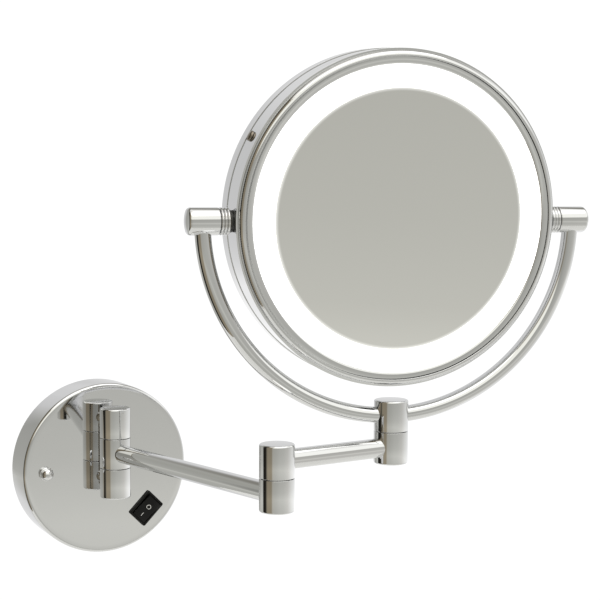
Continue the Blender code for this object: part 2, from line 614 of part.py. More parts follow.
def yoke(parent):
    half = TOP_SEGMENT / 2.0
    hub = add("yoke_barrel_upper", barrel(BARREL_RADIUS, -half, half, closed_high=True),
              "chrome", parent)
    start = math.asin(TUBE_START / YOKE_RADIUS)
    end = math.pi / 2.0 - math.asin(5.7 * MM / YOKE_RADIUS)
    for side, sign in (("left", -1.0), ("right", 1.0)):
        turn = ALONG_Z if sign > 0.0 else Matrix.Rotation(math.pi, 4, "Z")
        arm = bent_tube(YOKE_TUBE_RADIUS, YOKE_TUBE_BORE, YOKE_RADIUS, start, end,
                        TUBE_SIDES, 14)
        add(f"yoke_arm_{side}", arm, "chrome", parent, turn=turn)
        way = bent_tube(YOKE_TUBE_RADIUS + GAP, 0.0, YOKE_RADIUS,
                        math.asin(SOCKET_FLOOR / YOKE_RADIUS), math.radians(8.0), TUBE_SIDES, 3)
        combine(hub, tool(f"{side}_hub_socket_cutter", way, parent, turn=turn), "DIFFERENCE")
        along = ALONG_X if sign > 0.0 else ALONG_MINUS_X
        pivot_cap(side, along, parent)
        pivot_collar(side, along, parent)
    lead_way = turned(rod_outline(1.7 * MM, PIN_RADIUS - 0.5 * MM, 7.0 * MM), SMALL_SIDES)
    combine(hub, tool("hub_lead_cutter", lead_way, parent, turn=ALONG_MINUS_X), "DIFFERENCE")
    steps = 16
    span = [start + 0.02 + (end - start - 0.04) * step / steps for step in range(steps + 1)]
    wire("yoke_lead", [(-YOKE_RADIUS * math.sin(a), 0.0, YOKE_RADIUS - YOKE_RADIUS * math.cos(a))
                       for a in span], "black_lead", parent, 1.6 * MM)


# ---- mirror head -------------------------------------------------------------
def head_piece(name, outline, material, parent, sides=HEAD_SIDES):
    """Turned piece about the head's own front-to-back line; heights run to the front."""
    return add(name, turned(outline, sides), material, parent, turn=ALONG_FRONT)


def front_bezel(parent):
    lip = GLASS_FRONT + GAP
    sleeve = DRUM_RADIUS - DRUM_WALL - GAP
    seat = DISC_RADIUS + 0.7 * MM
    bead = 3.0 * MM
    ridge = HEAD_RADIUS - 3.4 * MM
    outline = [(GLASS_OPENING, lip)]
    outline += arc(GLASS_OPENING + 1.4 * MM, lip + 0.2 * MM, 1.4 * MM, 170, 90, 2)
    outline += arc(ridge - 1.4 * MM, lip + 0.2 * MM, 1.4 * MM, 90, 10, 2)
    outline += arc(HEAD_RADIUS - bead / 2.0, FRONT_CREST - bead / 2.0, bead / 2.0, 150, 0, 3)
    outline += [(HEAD_RADIUS, FRONT_SEAM + GAP), (sleeve, FRONT_SEAM + GAP),
                (sleeve, FLANGE_REACH), (seat, FLANGE_REACH), (seat, lip)]
    head_piece("front_bezel", outline, "chrome", parent)


def rear_bezel(parent):
    """Rear ring of the casing, with the sleeve inside the drum that the screws hold."""
    lip = -(REAR_GLASS + GAP)
    sleeve = DRUM_RADIUS - DRUM_WALL - GAP
    seat = DISC_RADIUS + 0.7 * MM
    outline = [(GLASS_OPENING, lip)]
    outline += arc(GLASS_OPENING + 1.2 * MM, lip, 1.2 * MM, 180, 270, 2)
    outline += arc(REAR_RADIUS - 2.2 * MM, -REAR_CREST + 2.2 * MM, 2.2 * MM, 270, 360)
    outline += [(REAR_RADIUS, -REAR_SEAM - GAP), (sleeve, -REAR_SEAM - GAP),
                (sleeve, SLEEVE_TOP), (sleeve - SLEEVE_WALL, SLEEVE_TOP),
                (sleeve - SLEEVE_WALL, -FLANGE_REACH), (seat, -FLANGE_REACH), (seat, lip)]
    return head_piece("rear_bezel", outline, "chrome", parent)


def casing_drum(parent):
    inner = DRUM_RADIUS - DRUM_WALL
    outline = tube_outline(DRUM_RADIUS, inner, -REAR_SEAM, FRONT_SEAM)
    return head_piece("casing_drum", outline, "chrome", parent)


def side_screws(parent, drum, bezel):
    """Three screws round the casing, through the drum into the rear bezel's sleeve."""
    clearance = 1.8 * MM
    shank = 1.5 * MM
    head_height = 1.9 * MM
    low = DRUM_RADIUS + 0.35 * MM
    high = low + head_height
    tip = DRUM_RADIUS - 6.0 * MM
    for number, angle in enumerate(SCREW_ANGLES, 1):
        turn = Matrix.Rotation(math.radians(angle), 4, "Y").inverted() @ ALONG_X
        offset = Vector((0.0, SCREW_BACK, 0.0))
        hole = turned(rod_outline(clearance, DRUM_RADIUS - 9.0 * MM, DRUM_RADIUS + 5.0 * MM),
                      SMALL_SIDES)
        cutter = tool(f"screw_{number}_hole_cutter", hole, parent, offset, turn)
        combine(bezel, cutter, "DIFFERENCE")
        combine(drum, cutter, "DIFFERENCE")
        outline = [(0.0, tip), (shank, tip), (shank, low), (SCREW_HEAD_RADIUS, low),
                   (SCREW_HEAD_RADIUS, high - 0.7 * MM), (SCREW_HEAD_RADIUS - 0.9 * MM, high),
                   (0.0, high)]
        add(f"rear_bezel_screw_{number}", turned(outline, SMALL_SIDES), "steel", parent,
            offset, turn)


def shaft_openings(pivots, drum, bezel):
    """Way through the drum and the sleeve for each pivot shaft and its flange."""
    for side, turn in (("left", ALONG_MINUS_X), ("right", ALONG_X)):
        hole = turned(rod_outline(SHAFT_BODY + GAP, SHAFT_ROOT, DRUM_RADIUS + 5.0 * MM),
                      TUBE_SIDES)
        combine(drum, tool(f"{side}_shaft_hole_cutter", hole, pivots, turn=turn), "DIFFERENCE")
        notch = turned(rod_outline(NECK_RADIUS + 0.5 * MM, SHAFT_ROOT, DRUM_RADIUS - 1.0 * MM),
                       TUBE_SIDES)
        combine(bezel, tool(f"{side}_flange_notch_cutter", notch, pivots, turn=turn),
                "DIFFERENCE")


def pivot_shaft(side, turn, parent):
    """Hollow shaft with a flange inside the drum, fixed there and turning in the cap."""
    flange_top = DRUM_RADIUS - DRUM_WALL - 1.4 * MM
    flange_low = flange_top - 2.8 * MM
    shoulder = COLLAR_START - GAP
    tip = CAP_START + 12.9 * MM
    outline = [(SHAFT_BORE, SHAFT_ROOT), (SHAFT_BODY - 0.2 * MM, SHAFT_ROOT),
               (SHAFT_BODY - 0.2 * MM, flange_low), (NECK_RADIUS, flange_low),
               (NECK_RADIUS, flange_top), (SHAFT_BODY, flange_top), (SHAFT_BODY, shoulder),
               (SHAFT_RADIUS, shoulder), (SHAFT_RADIUS, tip), (SHAFT_BORE, tip)]
    add(f"pivot_shaft_{side}", turned(outline, TUBE_SIDES), "chrome", parent, turn=turn)


def light_unit(parent):
    """Reflector pan, the ring board with its light chips, opal ring and mirror glass."""
    back = GLASS_FRONT - GLASS_THICK
    seat = back - GAP
    plate = 6.1 * MM
    pan = [(0.0, plate), (DISC_RADIUS, plate), (DISC_RADIUS, seat), (DISC_RADIUS - 1.5 * MM, seat),
           (DISC_RADIUS - 1.5 * MM, plate + 1.4 * MM), (MIRROR_RADIUS + 1.6 * MM, plate + 1.4 * MM),
           (MIRROR_RADIUS + 1.6 * MM, seat), (MIRROR_RADIUS - 1.4 * MM, seat),
           (MIRROR_RADIUS - 1.4 * MM, plate + 1.4 * MM), (0.0, plate + 1.4 * MM)]
    head_piece("light_pan", pan, "white_plastic", parent)
    board_low = plate + 1.4 * MM + GAP
    board = turned(tube_outline(LED_BOARD[1], LED_BOARD[0], board_low, board_low + 0.8 * MM),
                   HEAD_SIDES)
    raise_chips(board, board_low + 0.8 * MM)
    add("led_board", board, "board", parent, turn=ALONG_FRONT)
    ring = tube_outline(DISC_RADIUS, MIRROR_RADIUS + GAP, back, GLASS_FRONT)
    head_piece("light_diffuser", ring, "opal", parent)
    head_piece("front_mirror", rod_outline(MIRROR_RADIUS, back, GLASS_FRONT), "mirror", parent)


def raise_chips(board, level):
    """Every second facet of the board's front carries one small light chip."""
    tops = [face for face in board.faces
            if all(abs(vert.co.z - level) < 1e-6 for vert in face.verts)]
    tops.sort(key=lambda face: math.atan2(face.calc_center_median().y,
                                          face.calc_center_median().x))
    chips = tops[::2]
    bmesh.ops.inset_individual(board, faces=chips, thickness=3.2 * MM)
    lifted = bmesh.ops.extrude_discrete_faces(board, faces=chips)["faces"]
    verts = list({vert for face in lifted for vert in face.verts})
    bmesh.ops.translate(board, vec=(0, 0, 0.7 * MM), verts=verts)


def rear_mirror(parent):
    """Magnifying glass of the second side, on its own backing pan."""
    face = -REAR_GLASS
    rings = 3
    dish = [(DISC_RADIUS * (1.0 - step / rings),
             face + REAR_DISH * (1.0 - (1.0 - step / rings) ** 2)) for step in range(rings + 1)]
    outline = [(0.0, face + GLASS_THICK + REAR_DISH)] + \
        [(r, h + GLASS_THICK) for r, h in reversed(dish[:-1])] + dish
    head_piece("rear_mirror", outline, "mirror", parent)
    low = face + GLASS_THICK + GAP
    pan = [(0.0, low + REAR_DISH + 2.0 * MM), (DISC_RADIUS, low + REAR_DISH + 2.0 * MM),
           (DISC_RADIUS, low), (DISC_RADIUS - 6.0 * MM, low),
           (DISC_RADIUS - 6.0 * MM, low + REAR_DISH), (0.0, low + REAR_DISH)]
    head_piece("rear_pan", pan, "white_plastic", parent)


def head_seat(pivots):
    """The head's own centre, raised from the pivots and leaning towards the user."""
    seat = bpy.data.objects.new("head_centre", None)
    bpy.context.scene.collection.objects.link(seat)
    seat.parent = pivots
    seat.matrix_local = (Matrix.Translation(Vector((0, 0, HEAD_RISE)))
                         @ Matrix.Rotation(HEAD_LEAN, 4, "X"))
    return seat


def mirror_head(pivots):
    parent = head_seat(pivots)
    drum = casing_drum(parent)
    front_bezel(parent)
    bezel = rear_bezel(parent)
    side_screws(parent, drum, bezel)
    shaft_openings(pivots, drum, bezel)
    pivot_shaft("left", ALONG_MINUS_X, pivots)
    pivot_shaft("right", ALONG_X, pivots)
    light_unit(parent)
    rear_mirror(parent)
    wire("head_lead", swept([(-96.0 * MM, 0.0, 0.0), (-90.0 * MM, 0.5 * MM, 3.0 * MM),
                             (-84.0 * MM, 2.0 * MM, 14.0 * MM),
                             (-80.0 * MM, -2.0 * MM, 30.0 * MM)]), "black_lead", parent)


# ---- assembly ----------------------------------------------------------------
def build():
    for leftover in list(bpy.data.objects):
        bpy.data.objects.remove(leftover, do_unlink=True)
    wall_bracket()
    wall_cover()
    cover_fixings()
    wall_knuckles()
    rocker_switch()
    electrics()
    inner = axis_empty("wall_swivel_axis", None, (0, -KNUCKLE_REACH, ARM_LEVEL),
                       INNER_ARM_TURN)
    inner_arm(inner)
    outer = axis_empty("elbow_swivel_axis", inner, (INNER_ARM, 0, SEGMENT), ELBOW_TURN)
    outer_arm(outer)
    hub_height = SEGMENT / 2.0 + SEAM / 2.0 + TOP_SEGMENT / 2.0
    swing = axis_empty("yoke_swivel_axis", outer, (OUTER_ARM, 0, hub_height), YOKE_TURN)
    yoke(swing)
    tilt = axis_empty("mirror_tilt_axis", swing, (0, 0, YOKE_RADIUS), 0.0)
    mirror_head(tilt)


build()
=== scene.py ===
"""Lit shaving mirror on a double swivel arm: fine surfaces, finishes, light and camera."""

import json
import math

import bmesh
import bpy
from mathutils import Matrix, Vector


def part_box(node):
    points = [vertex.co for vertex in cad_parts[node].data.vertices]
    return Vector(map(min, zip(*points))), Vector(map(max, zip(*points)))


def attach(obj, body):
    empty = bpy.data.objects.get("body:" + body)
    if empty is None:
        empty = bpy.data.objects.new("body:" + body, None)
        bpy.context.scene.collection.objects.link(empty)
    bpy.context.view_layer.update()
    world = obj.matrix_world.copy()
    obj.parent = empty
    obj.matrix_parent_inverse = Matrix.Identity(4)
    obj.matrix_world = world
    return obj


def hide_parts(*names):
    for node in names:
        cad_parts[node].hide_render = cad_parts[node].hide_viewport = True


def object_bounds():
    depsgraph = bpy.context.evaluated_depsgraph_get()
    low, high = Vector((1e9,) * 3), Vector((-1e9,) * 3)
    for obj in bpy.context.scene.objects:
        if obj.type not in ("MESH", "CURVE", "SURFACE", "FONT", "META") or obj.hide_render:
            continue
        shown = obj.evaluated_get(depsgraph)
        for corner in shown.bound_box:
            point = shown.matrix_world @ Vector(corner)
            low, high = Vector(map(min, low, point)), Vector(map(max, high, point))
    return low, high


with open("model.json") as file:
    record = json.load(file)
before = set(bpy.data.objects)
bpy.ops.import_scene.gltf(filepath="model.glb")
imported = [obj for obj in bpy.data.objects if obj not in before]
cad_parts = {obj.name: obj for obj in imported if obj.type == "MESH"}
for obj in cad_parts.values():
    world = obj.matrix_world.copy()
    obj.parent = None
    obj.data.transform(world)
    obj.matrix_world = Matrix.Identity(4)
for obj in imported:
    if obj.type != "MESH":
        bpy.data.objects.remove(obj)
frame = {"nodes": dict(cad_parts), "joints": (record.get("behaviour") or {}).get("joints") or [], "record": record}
CAD_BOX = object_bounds()

MM = 0.001
NODES = frame["nodes"]
JOINTS = {joint["name"]: joint for joint in frame["joints"]}
ROUND = 192                 # facets round the head and the cover
FINE = 96                   # facets round barrels, tubes and caps
SMALL = 64                  # facets round nuts, stubs, washers and marks
SAME_POINT = 1e-7           # metres; closer points are merged


# ---- places, read from the frame ----------------------------------------------
def joint_place(name):
    """A point on a joint's axis."""
    return Vector(JOINTS[name]["pos_m"])


def joint_axis(name):
    """Direction of a joint's axis."""
    return Vector(JOINTS[name]["axis"]).normalized()


def middle(node):
    """Centre of a node's box."""
    low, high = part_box(node)
    return (low + high) / 2.0


def half_height(node):
    """Radius of a round node that lies level."""
    low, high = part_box(node)
    return (high.z - low.z) / 2.0


def reach(node, origin, direction):
    """How far a node's metal runs along a direction, as (lowest, highest)."""
    along = [(vert.co - origin).dot(direction) for vert in NODES[node].data.vertices]
    return min(along), max(along)


def frame_at(origin, x_axis, z_axis):
    """Matrix with its X and Z laid on the given directions."""
    x = x_axis.normalized()
    z = z_axis.normalized()
    y = z.cross(x)
    turn = Matrix((x, y, z)).transposed().to_4x4()
    return Matrix.Translation(origin) @ turn


UP = Vector((0.0, 0.0, 1.0))
RIGHT = Vector((1.0, 0.0, 0.0))
ROOM = Vector((0.0, -1.0, 0.0))
WALL = frame_at(Vector(), RIGHT, ROOM)                  # Z runs out of the wall
TILT = joint_place("mirror_tilt")
TILT_AXIS = joint_axis("mirror_tilt")
HEAD_FRONT = (middle("front_mirror") - middle("casing_drum")).normalized()
HEAD_TOP = HEAD_FRONT.cross(TILT_AXIS)
HEAD_MIDDLE = middle("casing_drum") + HEAD_FRONT * HEAD_FRONT.dot(TILT - middle("casing_drum"))
HEAD = frame_at(HEAD_MIDDLE, TILT_AXIS, HEAD_FRONT)     # Z runs out of the glass
HUB = middle("yoke_barrel_upper")
YOKE_RADIUS = TILT.z - HUB.z


# ---- shader tools ---------------------------------------------------------------
def add_node(tree, kind, values=None, **settings):
    """A new node, with its settings and the values of its unlinked sockets."""
    node = tree.nodes.new(kind)
    for name, value in settings.items():
        setattr(node, name, value)
    for socket, value in (values or {}).items():
        node.inputs[socket].default_value = value
    return node


class Finish:
    """One material under construction: its tree, its shader and short ways to add nodes."""

    def __init__(self, name, **sockets):
        self.material = bpy.data.materials.new(name)
        self.material.use_nodes = True
        self.tree = self.material.node_tree
        self.shader = self.tree.nodes["Principled BSDF"]
        for socket, value in sockets.items():
            self.shader.inputs[socket.replace("_", " ")].default_value = value

    def add(self, kind, values=None, **settings):
        return add_node(self.tree, kind, values, **settings)

    def link(self, source, target):
        self.tree.links.new(source, target)

    def feed(self, source, socket):
        """Link an output to one of the shader's own sockets."""
        self.link(source, self.shader.inputs[socket])

    def group(self, name, **values):
        return self.add("ShaderNodeGroup", values, node_tree=bpy.data.node_groups[name])

    def object_place(self):
        return self.add("ShaderNodeTexCoord").outputs["Object"]

    def mix(self, factor, first, second):
        node = self.add("ShaderNodeMix", {6: (*first, 1.0), 7: (*second, 1.0)}, data_type="RGBA")
        self.link(factor, node.inputs[0])
        return node.outputs[2]

    def bump(self, height, strength, distance):
        node = self.add("ShaderNodeBump", {"Strength": strength, "Distance": distance})
        self.link(height, node.inputs["Height"])
        self.feed(node.outputs["Normal"], "Normal")

    def soft_step(self, value, start, end):
        """0 to 1, smoothly, as a value goes from start to end."""
        ramp = self.add("ShaderNodeMapRange", {"From Min": start, "From Max": end},
                        interpolation_type="SMOOTHSTEP")
        self.link(value, ramp.inputs["Value"])
        return ramp.outputs["Result"]

    def head_distance(self):
        """Distance from the head's middle."""
        place = self.add("ShaderNodeVectorMath", {1: HEAD_MIDDLE}, operation="SUBTRACT")
        self.link(self.object_place(), place.inputs[0])
        distance = self.add("ShaderNodeVectorMath", operation="LENGTH")
        self.link(place.outputs[0], distance.inputs[0])
        return distance.outputs["Value"]


def noise_group(name, pattern, scale, least, most, detail, grit, span):
    """Shader group: a noise over the surface, and a roughness that follows its span."""
    group = bpy.data.node_groups.new(name, "ShaderNodeTree")
    for socket, value in (("Scale", scale), ("Least", least), ("Most", most)):
        made = group.interface.new_socket(socket, in_out="INPUT", socket_type="NodeSocketFloat")
        made.default_value = value
    for socket in ("Roughness", pattern):
        group.interface.new_socket(socket, in_out="OUTPUT", socket_type="NodeSocketFloat")
    given = add_node(group, "NodeGroupInput")
    result = add_node(group, "NodeGroupOutput")
    place = add_node(group, "ShaderNodeTexCoord")
    noise = add_node(group, "ShaderNodeTexNoise", {"Detail": detail, "Roughness": grit})
    spread = add_node(group, "ShaderNodeMapRange", {"From Min": span[0], "From Max": span[1]})
    for source, target in ((place.outputs["Object"], noise.inputs["Vector"]),
                           (given.outputs["Scale"], noise.inputs["Scale"]),
                           (noise.outputs[0], spread.inputs["Value"]),
                           (given.outputs["Least"], spread.inputs["To Min"]),
                           (given.outputs["Most"], spread.inputs["To Max"]),
                           (spread.outputs["Result"], result.inputs["Roughness"]),
                           (noise.outputs[0], result.inputs[pattern])):
        group.links.new(source, target)


def shared_groups():
    """Cloudy haze of a polished surface, and the even grain of a moulded or plated one."""
    noise_group("polish haze", "Haze", 40.0, 0.02, 0.06, 4.0, 0.6, (0.38, 0.68))
    noise_group("moulded grain", "Height", 2500.0, 0.3, 0.45, 2.0, 0.5, (0.0, 1.0))


def shade(colour, share):
    """A colour darkened to a share of itself."""
    return tuple(channel * share for channel in colour)


# ---- finishes -------------------------------------------------------------------
def chrome_finish():
    """Polished chrome plate with a trace of haze."""
    finish = Finish("polished chrome", Metallic=1.0)
    haze = finish.group("polish haze", Scale=35.0, Least=0.02, Most=0.05)
    finish.feed(haze.outputs["Roughness"], "Roughness")
    dark = (0.72, 0.722, 0.728)
    light = (0.75, 0.752, 0.754)
    finish.feed(finish.mix(haze.outputs["Haze"], dark, light), "Base Color")
    return finish.material


def satin_metal(name, colour, least=0.22, most=0.4):
    """Turned or plated metal with a fine even grain."""
    finish = Finish(name, Metallic=1.0)
    grain = finish.group("moulded grain", Scale=900.0, Least=least, Most=most)
    finish.feed(grain.outputs["Roughness"], "Roughness")
    finish.feed(finish.mix(grain.outputs["Height"], shade(colour, 0.86), colour), "Base Color")
    finish.bump(grain.outputs["Height"], 0.15, 0.05 * MM)
    return finish.material


def moulded(name, colour, least, most, strength=0.2, shine=0.5):
    """Moulded plastic: fine grain with slightly cloudy colour."""
    finish = Finish(name, Specular_IOR_Level=shine)
    grain = finish.group("moulded grain", Scale=2500.0, Least=least, Most=most)
    finish.feed(grain.outputs["Roughness"], "Roughness")
    haze = finish.group("polish haze", Scale=60.0, Least=0.0, Most=1.0)
    finish.feed(finish.mix(haze.outputs["Haze"], shade(colour, 0.9), colour), "Base Color")
    finish.bump(grain.outputs["Height"], strength, 0.03 * MM)
    return finish.material


def mirror_finish(name, tone):
    """Silvered glass: clear, with the faintest haze from wiping."""
    finish = Finish(name, Metallic=1.0)
    haze = finish.group("polish haze", Scale=12.0, Least=0.0, Most=0.012)
    finish.feed(haze.outputs["Roughness"], "Roughness")
    dark = tuple(channel - 0.008 for channel in tone)
    finish.feed(finish.mix(haze.outputs["Haze"], dark, tone), "Base Color")
    return finish


def disc_edge():
    """Distance from the head's middle to the front disc's ground edge."""
    return math.hypot(head_radius("front_mirror"), head_reach("front_mirror")[1])


def lit_glass_finish():
    """Front glass: silvered, with the ring's light creeping in at its ground edge."""
    finish = mirror_finish("silvered glass", (0.86, 0.855, 0.835))
    finish.shader.inputs["Emission Strength"].default_value = 1.0
    edge = disc_edge()
    creep = finish.soft_step(finish.head_distance(), edge - 2.6 * MM, edge + 0.5 * MM)
    finish.feed(finish.mix(creep, (0.0, 0.0, 0.0), (0.5, 0.5, 0.5)), "Emission Color")
    return finish.material


def opal_finish():
    """Frosted ring lit from behind, softer towards its inner edge."""
    finish = Finish("lit opal", Base_Color=(0.95, 0.95, 0.94, 1.0), Emission_Strength=1.6)
    grain = finish.group("moulded grain", Scale=3000.0, Least=0.35, Most=0.5)
    finish.feed(grain.outputs["Roughness"], "Roughness")
    edge = disc_edge()
    away = finish.soft_step(finish.head_distance(), edge, edge + 3.0 * MM)
    finish.feed(finish.mix(away, (0.45, 0.45, 0.43), (1.0, 1.0, 1.0)), "Emission Color")
    return finish.material


def lead_finish(name, colour):
    """Soft sleeve of a lead."""
    finish = Finish(name)
    haze = finish.group("polish haze", Scale=300.0, Least=0.4, Most=0.6)
    finish.feed(haze.outputs["Roughness"], "Roughness")
    finish.feed(finish.mix(haze.outputs["Haze"], shade(colour, 0.7), colour), "Base Color")
    return finish.material


def floor_finish():
    """Plain pale floor, softly lit of itself, a little lighter towards the back."""
    finish = Finish("pale floor", Roughness=0.7, Emission_Strength=0.8)
    split = finish.add("ShaderNodeSeparateXYZ")
    finish.link(finish.object_place(), split.inputs[0])
    back = finish.soft_step(split.outputs["Y"], -1.5, 1.5)
    finish.feed(finish.mix(back, (0.30, 0.30, 0.29), (0.34, 0.34, 0.33)), "Base Color")
    finish.feed(finish.mix(back, (0.68, 0.68, 0.65), (0.78, 0.78, 0.76)), "Emission Color")
    return finish.material


def make_finishes():
    """Every finish, by the name of its slot in the record or of its own use here."""
    shared_groups()
    return {
        "chrome": chrome_finish(),
        "mirror": lit_glass_finish(),
        "rear mirror": mirror_finish("magnifying glass", (0.86, 0.86, 0.85)).material,
        "opal": opal_finish(),
        "zinc_plate": satin_metal("zinc plate", (0.62, 0.63, 0.64)),
        "steel": satin_metal("turned steel", (0.55, 0.55, 0.56)),
        "screw steel": satin_metal("screw steel", (0.30, 0.26, 0.21), 0.22, 0.34),
        "brass": satin_metal("brass", (0.72, 0.55, 0.28)),
        "black_plastic": moulded("black housing", (0.006, 0.006, 0.005), 0.28, 0.38, 0.2, 0.2),
        "rocker_black": moulded("black rocker", (0.004, 0.004, 0.004), 0.18, 0.26, 0.1, 0.25),
        "mark white": moulded("printed mark", (0.82, 0.82, 0.80), 0.4, 0.5),
        "white_plastic": moulded("white plastic", (0.88, 0.88, 0.86), 0.4, 0.55),
        "grey_plastic": moulded("grey plastic", (0.30, 0.31, 0.32), 0.4, 0.55),
        "dark washer": moulded("dark washer", (0.045, 0.045, 0.04), 0.3, 0.42),
        "nylon": moulded("nylon", (0.80, 0.78, 0.72), 0.35, 0.5),
        "board": moulded("white board", (0.90, 0.91, 0.89), 0.35, 0.5),
        "black_lead": lead_finish("black lead", (0.03, 0.03, 0.03)),
        "brown_lead": lead_finish("brown lead", (0.24, 0.10, 0.04)),
        "floor": floor_finish(),
    }


# ---- shape tools ----------------------------------------------------------------
def arc(centre, radius, start, end, steps=8, squash=1.0):
    """Round stretch of an outline from one angle to another, in degrees from +r to +h."""
    span = [math.radians(start + (end - start) * step / steps) for step in range(steps + 1)]
    return [(centre[0] + radius * math.cos(a), centre[1] + radius * squash * math.sin(a))
            for a in span]


def turned(outline, steps, ring=False):
    """Spin an outline of (radius, height) about Z; a ring's outline is closed on itself."""
    bm = bmesh.new()
    verts = [bm.verts.new((radius, 0.0, height)) for radius, height in outline]
    edges = [bm.edges.new(pair) for pair in zip(verts, verts[1:])]
    if ring:
        edges.append(bm.edges.new((verts[-1], verts[0])))
    bmesh.ops.spin(bm, geom=verts + edges, cent=(0, 0, 0), axis=(0, 0, 1), angle=math.tau,
                   steps=steps, use_merge=True)
    bmesh.ops.remove_doubles(bm, verts=bm.verts, dist=SAME_POINT)
    bmesh.ops.recalc_face_normals(bm, faces=bm.faces)
    return bm


def finish_piece(name, bm, finish, body, nodes=(), place=None, sharp=32.0):
    """Lay a mesh in the row frame, give it its finish and hang it on its body."""
    if place is not None:
        bmesh.ops.transform(bm, matrix=place, verts=bm.verts)
    mesh = bpy.data.meshes.new(name)
    bm.to_mesh(mesh)
    bm.free()
    mesh.shade_smooth()
    mesh.set_sharp_from_angle(angle=math.radians(sharp))
    mesh.materials.append(FINISHES[finish])
    piece = bpy.data.objects.new(name, mesh)
    bpy.context.scene.collection.objects.link(piece)
    if nodes:
        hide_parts(*nodes)
    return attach(piece, body)


# ---- wall unit ------------------------------------------------------------------
def wall_cover():
    """Spun cover with a rounded front edge, open at the wall."""
    radius = reach("wall_cover", Vector(), RIGHT)[1]
    back, front = reach("wall_cover", Vector(), ROOM)
    edge = 2.5 * MM
    wall = 1.5 * MM
    rings = 12
    outline = [(0.0, front - wall), (radius - wall, front - wall), (radius - wall, back),
               (radius, back)]
    outline += arc((radius - edge, front - edge), edge, 0, 90, 12)
    outline += [(radius * step / rings, front) for step in range(rings - 1, -1, -1)]
    finish_piece("cover_shell", turned(outline, ROUND), "chrome", "wall_unit",
                 ["wall_cover"], place=WALL)


def cap_nut(side):
    """Nut with a short straight skirt and a domed end."""
    node = f"cap_nut_{side}"
    centre = middle(node)
    low, high = reach(node, Vector(), ROOM)
    radius = half_height(node)
    dome = radius - 0.35 * MM
    shoulder = low + 2.6 * MM
    chamfer = 0.3 * MM
    outline = [(0.0, low), (radius - chamfer, low), (radius, low + chamfer),
               (radius, shoulder - 0.25 * MM), (dome, shoulder)]
    outline += arc((0.0, shoulder), dome, 6, 84, 13, (high - shoulder) / dome)
    outline += [(0.0, high)]
    place = Matrix.Translation((centre.x, 0.0, centre.z)) @ WALL
    finish_piece(f"domed_nut_{side}", turned(outline, SMALL), "chrome", "wall_unit", [node],
                 place=place)


def knuckle_stub(side):
    """Horizontal stub that carries a fixed barrel from the bracket."""
    node = f"wall_knuckle_{side}"
    radius = 5.0 * MM
    back = reach(node, Vector(), ROOM)[0]
    cover_face = -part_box("wall_cover")[0].y + 0.2 * MM
    end = -WALL_AXIS.y - 6.0 * MM               # well inside the barrel
    outline = [(0.0, back), (radius, back), (radius, cover_face), (radius, end), (0.0, end)]
    place = Matrix.Translation((WALL_AXIS.x, 0.0, middle(node).z)) @ WALL
    finish_piece(f"knuckle_stub_{side}", turned(outline, SMALL), "chrome", "wall_unit",
                 place=place)


# ---- barrels and arms -----------------------------------------------------------
ROUNDED = 1.3 * MM          # edge at the end of a stack of barrels
CRISP = 0.3 * MM            # edge at the seam between two barrels
WALL_AXIS = joint_place("wall_swivel")
ELBOW_AXIS = joint_place("elbow_swivel")
YOKE_AXIS = joint_place("yoke_swivel")
BARRELS = {
    # node: (axis, body, lower edge, upper edge)
    "wall_knuckle_upper": (WALL_AXIS, "wall_unit", CRISP, ROUNDED),
    "wall_swivel_barrel": (WALL_AXIS, "inner_arm", CRISP, CRISP),
    "wall_knuckle_lower": (WALL_AXIS, "wall_unit", ROUNDED, CRISP),
    "elbow_barrel_lower": (ELBOW_AXIS, "inner_arm", ROUNDED, CRISP),
    "elbow_barrel_upper": (ELBOW_AXIS, "outer_arm", CRISP, ROUNDED),
    "yoke_barrel_lower": (YOKE_AXIS, "outer_arm", ROUNDED, CRISP),
    "yoke_barrel_upper": (YOKE_AXIS, "yoke", CRISP, ROUNDED),
}


def widest(node, centre):
    """Radius of a round upright node about its own axis."""
    return max(math.hypot(vert.co.x - centre.x, vert.co.y - centre.y)
               for vert in NODES[node].data.vertices)


def barrels():
    """The stacked barrels of the three swivels."""
    wall_radius = widest("wall_swivel_barrel", WALL_AXIS)
    arm_radius = widest("elbow_barrel_lower", ELBOW_AXIS)
    for node, (axis, body, edge_low, edge_high) in BARRELS.items():
        radius = wall_radius if axis is WALL_AXIS else arm_radius
        low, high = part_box(node)[0].z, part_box(node)[1].z
        outline = [(0.0, low)]
        outline += arc((radius - edge_low, low + edge_low), edge_low, -90, 0)
        outline += arc((radius - edge_high, high - edge_high), edge_high, 0, 90)
        outline += [(0.0, high)]
        finish_piece(f"{node}_skin", turned(outline, FINE), "chrome", body, [node],
                     place=Matrix.Translation((axis.x, axis.y, 0.0)))


def straight_tube(node, start, end, body):
    """Arm tube between two upright axes at its own height."""
    radius = half_height(node)
    low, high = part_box(node)
    level = (high.z + low.z) / 2.0
    first = Vector((start.x, start.y, level))
    last = Vector((end.x, end.y, level))
    inset = 4.0 * MM                            # its ends lie inside the barrels
    length = (last - first).length - inset
    rings = 10
    outline = [(0.0, inset)]
    outline += [(radius, inset + (length - inset) * step / rings) for step in range(rings + 1)]
    outline += [(0.0, length)]
    finish_piece(f"{node}_skin", turned(outline, FINE), "chrome", body, [node],
                 place=frame_at(first, UP, last - first))


